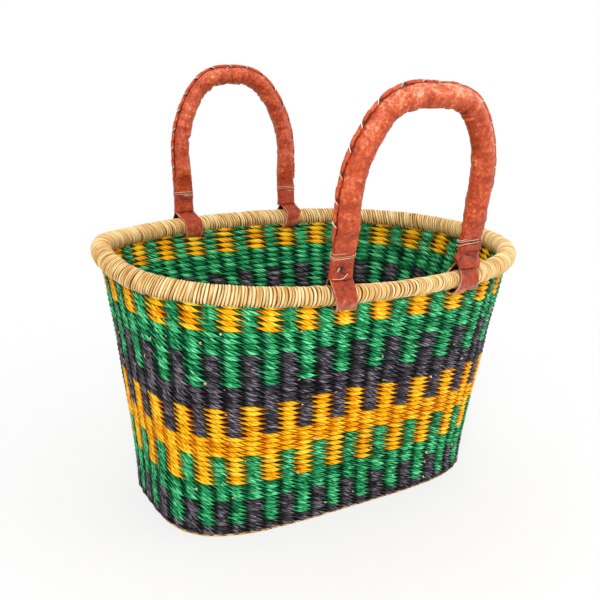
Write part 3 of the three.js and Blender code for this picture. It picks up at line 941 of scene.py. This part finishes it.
def arch_line(side, start, count):
    """Middle line of a handle at equal steps, x along the rim and z away from it, and its directions."""
    angle = math.pi * (1 - np.linspace(0, 1, 2001))
    x = FOOT_X * signed_power(np.cos(angle), 2 / ARCH_SQUARENESS[side])
    z = HANDLE_REACH * signed_power(np.sin(angle), 2 / ARCH_SQUARENESS[side])
    risen = smoothstep(z, TAPER_START, HANDLE_REACH)
    x = x * (1 + ARCH_BULGE * np.sin(math.pi * risen))
    keep = z >= start
    x, z = x[keep], z[keep]
    travelled = np.concatenate([[0], np.cumsum(np.hypot(np.diff(x), np.diff(z)))])
    wanted = np.linspace(0, travelled[-1], count)
    x, z = np.interp(wanted, travelled, x), np.interp(wanted, travelled, z)
    points = np.stack([x, np.zeros(count), z], axis=1)
    along = unit(np.gradient(points, axis=0))
    outward = np.stack([-along[:, 2], np.zeros(count), along[:, 0]], axis=1)
    return points, along, outward, wanted


def wrinkle(points, strength):
    """Soft random lumps, one value for each point."""
    return np.array([noise.noise(Vector(p) * strength) for p in points])


def seam_direction(side, share, outward):
    """Where the seam lies round a handle: it wanders off the outer edge past the top of the arch."""
    angle = side * np.radians(np.interp(share, *SEAM_WANDER[side]))
    y = np.tile([0.0, 1.0, 0.0], (len(share), 1))
    return around(outward, y, angle), around(y, -outward, angle), angle


def hang(side, right, above):
    """Drop of a foot's outer face, in millimetres, at a height above the foot's end."""
    return HANGS[side][right] * (1 - smoothstep(above, 0, 9 * MM))


def sleeve_radius(side, share):
    return np.interp(share, *GIRTH[side]) * MM


def make_sleeve(side, seed):
    """The leather sleeve: round over the rope, flat at its feet, with wrinkles, folds and a sunk seam. Its
    tone has painted shade in the folds, crumples and pits, and a painted highlight along the top of the
    arch.
    """
    points, along, outward, travelled = arch_line(side, SLEEVE_START, SLEEVE_STATIONS)
    share = travelled / travelled[-1]
    full = smoothstep(points[:, 2], TAPER_START, TAPER_END)[:, None]
    flat = 1 - full
    radius = sleeve_radius(side, share)[:, None]
    half_width = lerp(FOOT_HALF_WIDTH, radius, full)
    half_thick = lerp(FOOT_HALF_THICKNESS, radius, full)
    power = 2 / lerp(FOOT_SECTION_SQUARENESS, 2, full)
    angle = TAU * np.arange(SLEEVE_SIDES) / SLEEVE_SIDES
    cos, sin = np.cos(angle)[None], np.sin(angle)[None]
    w = half_width * signed_power(cos, power)
    h = half_thick * signed_power(sin, power)
    slope = np.unwrap(np.arctan2(along[:, 2], along[:, 0]))
    bend = np.abs(np.gradient(slope) / np.gradient(travelled))
    bend = smoothstep(bend, 4, 16)[:, None]
    place = [travelled[:, None], cos * SLEEVE_RADIUS, sin * SLEEVE_RADIUS]
    place = np.stack([np.broadcast_to(v, w.shape) for v in place], axis=-1).reshape(-1, 3)

    def leather_noise(stretch, shift, strength):
        return wrinkle(place * stretch + shift * seed, strength).reshape(w.shape)

    lumps = leather_noise([1, 0.8, 0.8], 1, 90)
    rings = leather_noise([1, 0.25, 0.25], 1, 190)
    creases = 1 - 2 * np.abs(leather_noise([1, 0.35, 0.35], 2, 260))
    gathers = leather_noise([0.3, 1, 1], 1, 420)
    dents = leather_noise([1, 1, 1], 3, 330)
    fine = leather_noise([1, 0.6, 0.6], 1, 700)
    crumple = np.abs(leather_noise([1, 0.9, 0.3], 5, 130))
    pinch = np.clip(-cos, 0, 1) ** 0.7 * bend
    ringed = 1.0 if side < 0 else 1.7
    depth = 0.5 * lumps + ringed * ((0.3 + 0.9 * pinch) * rings + (0.1 + 0.6 * pinch) * (creases - 0.6))
    depth = depth + 0.25 * dents + 0.12 * fine + 0.55 * flat * gathers
    inner = angle[None] - math.pi
    reach = bell(inner, 0, 1.1)
    painted_fold_shade = np.zeros(w.shape)
    for at, slant, strength in FOLDS[side]:
        off = (share[:, None] - at) * travelled[-1] / MM - slant * inner * 7
        depth = depth + strength * reach * (0.5 * bell(off, 0, 3.2) - bell(off, 0, 1.1))
        # painted shade in the fold
        painted_fold_shade = painted_fold_shade - 0.5 * strength * reach * bell(off, 0, 1.2)
    right = share[:, None] > 0.5
    loose = flat * right * (side < 0)
    loose = loose * smoothstep(points[:, 2], SLEEVE_START, SLEEVE_START + 6 * MM)[:, None]
    _, _, seam_angle = seam_direction(side, share, outward)
    off = np.abs((angle[None] - seam_angle[:, None] + math.pi) % TAU - math.pi)
    seam = bell(off, 0, 0.17) * 1.1
    shrink = 1 + (depth - seam * full) * MM / SLEEVE_RADIUS * lerp(0.7, 1, full)
    above = (points[:, 2:] - SLEEVE_START) / MM
    flare = np.where(cos < 0, 4.0 * bell(above, 4, 5), 2.0 * bell(above, 10, 9))
    flare = flare * right * (side < 0) * smoothstep(np.abs(cos), 0.3, 0.9)
    shifted = 2.8 * (1 - smoothstep(above, 36, 62)) * right * (side < 0)
    sway = w * shrink + (np.sign(cos) * flare + shifted) * MM
    surface = points[:, None] + outward[:, None] * sway[..., None]
    surface[..., 1] += h * (shrink + loose * (0.3 - 1.2 * crumple))
    fall = np.where(right, hang(side, 1, above * MM), hang(side, 0, above * MM))
    fall = fall * smoothstep(side * sin, 0.1, 0.6)
    surface[..., 2] -= fall * MM
    surface[..., 1] += side * HANG_OUT * fall * MM
    pits = np.zeros(w.shape)
    for x, z, wide, tall, strength in PITS[side]:
        away = ((surface[..., 0] / MM - x) / wide) ** 2 + ((surface[..., 2] / MM - z) / tall) ** 2
        pits = pits + strength * np.exp(-away) * (side * sin > 0.2)
    surface[..., 1] -= side * 0.9 * MM * pits
    # random tone, darker along the seam and on the flat feet, with painted shade in folds, crumples and pits
    wear_and_painted_light = 0.25 * rings + 0.15 * lumps + 0.25 * dents + 0.2 * fine - 0.5 * seam * full + 0.7 * painted_fold_shade
    wear_and_painted_light = wear_and_painted_light - 0.22 * flat - 0.3 * loose * smoothstep(-crumple, -0.08, 0) - 0.9 * pits
    # painted highlight along the top of the arch, where it faces up
    painted_crown_highlight = smoothstep(outward[:, 2:] * cos - 0.5 * sin, 0.3, 1.1) * full
    wear_and_painted_light = wear_and_painted_light + (0.25 - 0.1 * side) * painted_crown_highlight
    batch = Strands()
    batch.put(surface, tube_faces(np.arange(w.size).reshape(w.shape)), place, wear_and_painted_light)
    set_on_handle(batch, side, "sleeve_skin", "sleeve_leather", "handle_sleeve")


def make_seam(side):
    """The rolled leather edge, nipped in at each stitch, and the thread that is whipped over it."""
    points, _, outward, travelled = arch_line(side, TAPER_START + 8 * MM, WELT_STATIONS)
    share = travelled / travelled[-1]
    away, beside, _ = seam_direction(side, share, outward)
    full = smoothstep(points[:, 2], TAPER_START, TAPER_END)
    phase = (travelled / STITCH_PITCH + 0.5) % 1 - 0.5
    nip = 1 - 0.34 * bell(phase, 0, 0.1)
    sunk = 1.1 * smoothstep(share, 0.58, 0.68) * (1 - smoothstep(share, 0.84, 0.92)) * (side < 0)
    sit = lerp(FOOT_HALF_WIDTH, sleeve_radius(side, share), full) + (1.1 - sunk) * MM
    saw = 0.55 * MM * np.sin(math.pi * phase)
    centre = points + away * sit[:, None] + beside * saw[:, None]
    ends = np.clip(np.minimum(travelled, travelled[-1] - travelled) / (14 * MM), 0.2, 1) ** 0.6
    # painted shade at each nip, under the thread
    tone = 0.1 - 0.7 * bell(phase, 0, 0.1)
    batch = Strands()
    batch.add(
        centre, beside, away, 1.75 * MM * nip * ends, WELT_RADIUS * nip * ends, round_section(14), tone
    )
    set_on_handle(batch, side, "welt_roll", "sleeve_leather", "seam_welt")

    stitches = Strands()
    t = np.linspace(-1, 1, 15)
    angle = side * t * math.radians(125)
    for k in range(1, int(travelled[-1] / STITCH_PITCH) + 1):
        where = k * STITCH_PITCH - t * STITCH_HALF_SLANT + rng.uniform(-0.5, 0.5) * MM
        base, lift, across = (
            np.stack([np.interp(where, travelled, v[:, i]) for i in range(3)], axis=1)
            for v in (centre, away, beside)
        )
        path = base + around(lift, across, angle, STITCH_RADIUS)
        stitches.add_path(path, lift, STITCH_THREAD_RADIUS, STITCH_THREAD_RADIUS, tone=rng.uniform(0.5, 1))
    set_on_handle(stitches, side, "seam_stitches", "thread", "seam_thread")


def make_rope(side):
    """The twisted rope inside the sleeve."""
    points, _, outward, travelled = arch_line(side, TAPER_END, ROPE_STATIONS)
    batch = Strands()
    y = np.tile([0.0, 1.0, 0.0], (len(points), 1))
    section = round_section(10)
    for k in range(ROPE_STRANDS):
        spin = TAU * (k / ROPE_STRANDS + travelled / ROPE_LAY)
        middle = points + around(outward, y, spin, ROPE_RING_RADIUS)
        batch.add(middle, y, outward, ROPE_STRAND_RADIUS, ROPE_STRAND_RADIUS, section, 0.3)
    set_on_handle(batch, side, "rope_strands", "rope", "handle_rope", material="natural_straw")


def strap_path():
    """Outline of a strap loop along the rim: round below, and drawn together under the handle's foot."""
    angle = TAU * np.arange(STRAP_SECTIONS) / STRAP_SECTIONS
    from_top = np.abs((angle + math.pi) % TAU - math.pi)
    drawn = math.acos(STRAP_HUG / (SLEEVE_START + 0.8 * MM))
    radius = STRAP_HUG / np.cos(np.clip(drawn - from_top, 0, None))
    return angle, from_top, radius + STRAP_SAG * smoothstep(from_top, 1.5, 2.7)


def make_strap(side, end, x, waist, flare, tilt, drifts, seed):
    """Strap loop round the rim, with the tongue of its ends in the sleeve's foot."""
    angle, from_top, radius = strap_path()
    place = np.sin(np.linspace(-math.pi / 2, math.pi / 2, STRAP_ACROSS))
    low = smoothstep(from_top, 0.7, 2.4)
    half = (STRAP_WIDTH / 2 - waist * MM * (1 - low) + flare * MM * low)[:, None]
    drift = np.interp(angle / math.pi, DRIFT_PLACES, drifts)[:, None] * MM
    ripple = np.array([[noise.noise(Vector((a * 2.2 + seed, p * 2.5, seed))) for p in place] for a in angle])
    curl = low[:, None] * (0.7 * np.abs(place) ** 4 - tilt * (1 + place) / 2) * MM
    along = x + half * place + drift
    outer = np.sin(angle)
    skins = []
    for thick in (STRAP_SKIN, -STRAP_SKIN):
        r = radius[:, None] + curl + 0.4 * MM * ripple * low[:, None] + thick
        skins.append(np.stack([along, r * outer[:, None] * side, r * np.cos(angle)[:, None]], axis=-1))
    skins = np.stack(skins)
    grid = np.arange(along.size).reshape(along.shape)
    after = np.roll(grid, -1, axis=0)
    quads = np.stack([grid[:, :-1], grid[:, 1:], after[:, 1:], after[:, :-1]], axis=-1).reshape(-1, 4)
    faces = [quads, (quads + along.size)[:, ::-1]]
    for column, flip in ((0, False), (STRAP_ACROSS - 1, True)):
        g, a = grid[:, column], after[:, column]
        edge = np.stack([g, a, a + along.size, g + along.size], axis=-1)
        faces.append(edge[:, ::-1] if flip else edge)
    rubbed = 0.42 * smoothstep(from_top, 1.1, 2.2)[:, None] + 0.35 * ripple - 0.08
    cut_edge = 0.9 * np.abs(place) ** 40
    # painted shade on the inner skin, which faces the rim; the cut edges are paler
    tone = np.stack([rubbed + cut_edge, rubbed + 1.4 * cut_edge - 0.9])
    loop = Strands()
    loop.put(skins, np.concatenate(faces), skins, tone)
    up = np.linspace(SLEEVE_START - 1.5 * MM, SLEEVE_START + 18 * MM, 8)
    middle = np.stack([np.full(8, x), np.zeros(8), up], axis=1)
    straight = np.tile([1.0, 0.0, 0.0], (8, 1))
    y = np.tile([0.0, 1.0, 0.0], (8, 1))
    loop.add(middle, straight, y, 7.7 * MM, 1.0 * MM, round_section(20, 6.0), 0.0)
    set_on_handle(loop, side, f"strap_loop_{end}", "strap_leather", f"strap_{end}")


def make_binding(side, end, x, seed):
    """Thread bound round a foot, and on all but the front right foot its knot and hem."""
    binding = Strands()
    turn = np.linspace(0, BINDING_TURNS, BINDING_STEPS)
    power = 2 / FOOT_SECTION_SQUARENESS
    a = TAU * turn - side * math.pi / 2
    px = x + (FOOT_HALF_WIDTH + 0.4 * MM) * signed_power(np.cos(a), power)
    py = (FOOT_HALF_THICKNESS + 0.55 * MM) * signed_power(np.sin(a), power)
    stray = 0.9 * MM * np.sin(a + seed) + 0.5 * MM * np.sin(0.37 * a + 2 * seed)
    pz = SLEEVE_START + 17 * MM + turn * 2.4 * MM + stray
    path = np.stack([px, py, pz], axis=1)
    radial = unit(np.stack([px - x, py * 4, np.zeros(BINDING_STEPS)], axis=1))
    binding.add_path(path, radial, BINDING_RADIUS, BINDING_RADIUS, tone=0.35)
    front = side * (FOOT_HALF_THICKNESS + 0.9 * MM)
    t = np.linspace(0, 1, 90)
    spin = TAU * 3 * t
    swell = 0.8 * np.sin(math.pi * t) + 0.2
    knot = np.stack(
        [
            x - (5.6 - 1.6 * (t - 0.5)) * MM + swell * 0.8 * MM * np.cos(spin),
            front + side * 0.8 * MM * np.cos(math.pi * (t - 0.5)) * (0.6 + 0.4 * np.sin(spin)),
            SLEEVE_START + 8.8 * MM + 3.8 * (t - 0.5) * MM + swell * MM * np.sin(spin) * 0.9,
        ],
        axis=1,
    )
    normal = np.tile([0.0, float(side), 0.0], (90, 1))
    run = np.linspace(0, 1, 40)
    span = 1.3 * run - 0.95
    bulge = (1 - np.abs(span) ** FOOT_SECTION_SQUARENESS) ** (1 / FOOT_SECTION_SQUARENESS)
    above = (1.5 + 0.9 * (1 - run) ** 2 + 3.6 * np.clip((run - 0.5) / 0.5, 0, 1) ** 2) * MM
    fall = hang(side, int(x > 0), above) * MM
    hem = np.stack(
        [
            x + span * FOOT_HALF_WIDTH,
            side * (FOOT_HALF_THICKNESS * bulge + 0.65 * MM + HANG_OUT * fall),
            SLEEVE_START + above - fall,
        ],
        axis=1,
    )
    if side > 0 or x < 0:
        girth = (0.26 + 0.26 * run**3) * MM
        binding.add_path(knot, normal, 0.36 * MM, 0.36 * MM, tone=0.4)
        binding.add_path(hem, normal[:40], girth, girth, tone=0.45)
    set_on_handle(binding, side, f"binding_turns_{end}", "thread", f"binding_{end}")


# Each foot: its end, waist and flare of its strap, tilt of its loop and the loop's drifts, in millimetres
FEET = {
    "left": (-1, 1.2, -2.2, 0, (0, 0.8, 3.6, 7.5, 6.5, 5, 0)),
    "right": (1, 2.4, 0.6, 2.2, (1.4, 0.8, 0, 1.2, 3, 5, 1.4)),
}
SLEEVE_SEEDS = {-1: 3.1, 1: 7.7}


def make_handle(side):
    make_sleeve(side, SLEEVE_SEEDS[side])
    make_seam(side)
    make_rope(side)
    for end, (way, *strap_shape) in FEET.items():
        seed = 5 * side + way
        make_strap(side, end, way * FOOT_X, *strap_shape, seed)
        make_binding(side, end, way * FOOT_X, seed)


make_weave()
make_stakes()
make_tufts()
make_rim()
make_base()
make_handle(-1)
make_handle(1)


# Setting

STUDIO_LIGHT = 0.55
FLOOR_SIZE = 6.0
FLOOR_DEPTH = 0.2 * MM
AIM = (0, 0, 0.16)

# Place, size and power of each lamp
LAMPS = {
    "key": ((-1.1, -1.5, 1.6), 0.9, 28),
    "fill": ((1.6, -1.0, 0.9), 1.4, 9),
    "top": ((0.2, 0.3, 2.0), 1.6, 9),
}


def make_camera():
    turn = Matrix.Rotation(-VIEW_TURN, 3, "Z")
    forward = turn @ Vector((0, math.cos(VIEW_ELEVATION), -math.sin(VIEW_ELEVATION)))
    up = turn @ Vector((0, math.sin(VIEW_ELEVATION), math.cos(VIEW_ELEVATION)))
    right = turn @ Vector((1, 0, 0))
    data = bpy.data.cameras.new("camera")
    data.sensor_width = 36
    data.lens = FOCAL_PIXELS / FRAME_PIXELS * data.sensor_width
    camera = new_object("camera", data)
    place = Vector((0, 0, RIM_HEIGHT / 2)) + right * VIEW_ACROSS + up * VIEW_UP - forward * VIEW_DISTANCE
    rolled_right = right * math.cos(VIEW_ROLL) + up * math.sin(VIEW_ROLL)
    rolled_up = -right * math.sin(VIEW_ROLL) + up * math.cos(VIEW_ROLL)
    axes = Matrix((rolled_right, rolled_up, -forward)).transposed().to_4x4()
    camera.matrix_world = Matrix.Translation(place) @ axes
    bpy.context.scene.camera = camera


def make_lamp(name, place, size, energy):
    data = bpy.data.lights.new(name, "AREA")
    data.shape = "DISK"
    data.size = size
    data.energy = energy
    lamp = new_object(name, data)
    lamp.location = place
    lamp.rotation_euler = (Vector(AIM) - lamp.location).to_track_quat("-Z", "Y").to_euler()


def plainly_seen(tree):
    """One for camera, mirror and see-through rays, which are to meet plain white, and nought for others."""
    path = tree.nodes.new("ShaderNodeLightPath")
    total = path.outputs["Is Camera Ray"]
    for name in ("Is Glossy Ray", "Is Transmission Ray"):
        total = add_node(tree, "ShaderNodeMath", total, path.outputs[name], use_clamp=True).outputs[0]
    return total


def make_world():
    world = bpy.data.worlds.new("studio")
    bpy.context.scene.world = world
    world.use_nodes = True
    tree = world.node_tree
    strength = map_range(tree, plainly_seen(tree), STUDIO_LIGHT, 1.0)
    set_inputs(tree, tree.nodes["Background"], {"Color": (1, 1, 1, 1), "Strength": strength})


def make_floor():
    """A white floor that shades to the plain white of the world away from the basket."""
    s = FLOOR_SIZE
    mesh = bpy.data.meshes.new("floor")
    mesh.from_pydata([(-s, -s, 0), (s, -s, 0), (s, s, 0), (-s, s, 0)], [], [(0, 1, 2, 3)])
    floor = new_object("floor", mesh)
    floor.location.z = -FLOOR_DEPTH
    material, tree, shader = node_material("floor")
    set_inputs(tree, shader, {"Base Color": (0.9, 0.9, 0.9, 1), "Roughness": 0.9})
    glow = add_node(tree, "ShaderNodeEmission", Color=(1, 1, 1, 1), Strength=1.0)
    place = tree.nodes.new("ShaderNodeTexCoord").outputs["Object"]
    away = add_node(tree, "ShaderNodeVectorMath", place, operation="LENGTH").outputs["Value"]
    fade = {"From Min": 0.2, "From Max": 0.75, "interpolation_type": "SMOOTHSTEP"}
    whitened = map_range(tree, away, 0.7, 1.0, **fade)
    seen = plainly_seen(tree)
    share = add_node(tree, "ShaderNodeMath", seen, whitened, operation="MULTIPLY").outputs[0]
    mix = add_node(tree, "ShaderNodeMixShader", share, shader.outputs[0], glow.outputs[0])
    tree.links.new(mix.outputs[0], tree.nodes["Material Output"].inputs["Surface"])
    mesh.materials.append(material)


make_camera()
make_world()
make_floor()
for name, (place, size, energy) in LAMPS.items():
    make_lamp(name, place, size, energy)
bpy.context.scene.view_settings.view_transform = "Standard"
